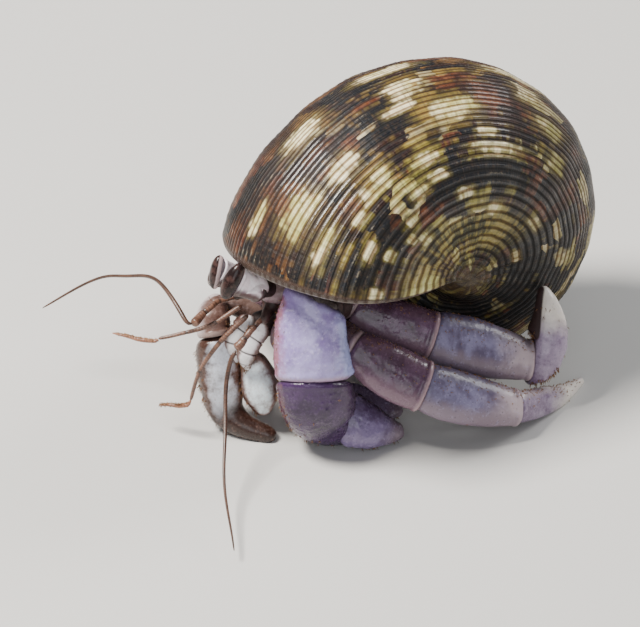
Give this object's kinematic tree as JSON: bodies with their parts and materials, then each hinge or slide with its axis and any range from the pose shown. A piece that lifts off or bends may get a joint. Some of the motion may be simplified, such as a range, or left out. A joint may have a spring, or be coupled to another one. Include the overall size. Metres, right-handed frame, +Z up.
{
  "type": "hermit crab",
  "caption": "Life-size land hermit crab in a ridged turban shell, standing still with its claws and legs spread and its feelers out.",
  "frame": {"origin": "on the floor, under the middle of the whole model", "axes": "+Z up, -Y the way the crab heads, +X its left side"},
  "size_m": [0.0432, 0.0592, 0.0383],
  "materials": {
    "big_claw": "violet, finely granular, semi-gloss",
    "claw_tip": "cream and lilac, smooth",
    "eye": "dark brown, wet",
    "eyestalk": "pinkish white above, brown below",
    "feeler": "dark reddish brown, ringed",
    "leg": "violet grey with cream joint rims",
    "mouth_limb": "greyish white with brown hairs",
    "pale_claw": "bluish white with brown edges",
    "shell": "turban shell, ridged, glossy, dark green, brown and cream mosaic",
    "shield": "grey violet and beige, finely granular",
    "soft_body": "soft, brownish pink"
  },
  "bodies": {
    "root": {"antenna_left": "feeler", "antenna_right": "feeler", "antenna_stem_left": "feeler", "antenna_stem_right": "feeler", "antennule_club_left": "feeler", "antennule_club_right": "feeler", "antennule_stalk_left": "feeler", "antennule_stalk_right": "feeler", "chest": "shield", "eye_left": "eye", "eye_right": "eye", "eyestalk_left": "eyestalk", "eyestalk_right": "eyestalk", "left_claw_carpus": "big_claw", "left_claw_finger": "big_claw", "left_claw_fixed_finger": "big_claw", "left_claw_merus": "big_claw", "left_claw_palm": "big_claw", "left_leg_one_carpus": "leg", "left_leg_one_dactyl": "claw_tip", "left_leg_one_merus": "leg", "left_leg_one_propodus": "leg", "left_leg_two_carpus": "leg", "left_leg_two_dactyl": "claw_tip", "left_leg_two_merus": "leg", "left_leg_two_propodus": "leg", "mouth_limb_left": "mouth_limb", "mouth_limb_right": "mouth_limb", "rear_body": "soft_body", "right_claw_carpus": "pale_claw", "right_claw_finger": "pale_claw", "right_claw_merus": "pale_claw", "right_claw_palm": "pale_claw", "right_leg_one_carpus": "leg", "right_leg_one_dactyl": "claw_tip", "right_leg_one_merus": "leg", "right_leg_one_propodus": "leg", "right_leg_two_carpus": "leg", "right_leg_two_dactyl": "claw_tip", "right_leg_two_merus": "leg", "right_leg_two_propodus": "leg", "shell": "shell", "shield": "shield"}
  },
  "joints": []
}
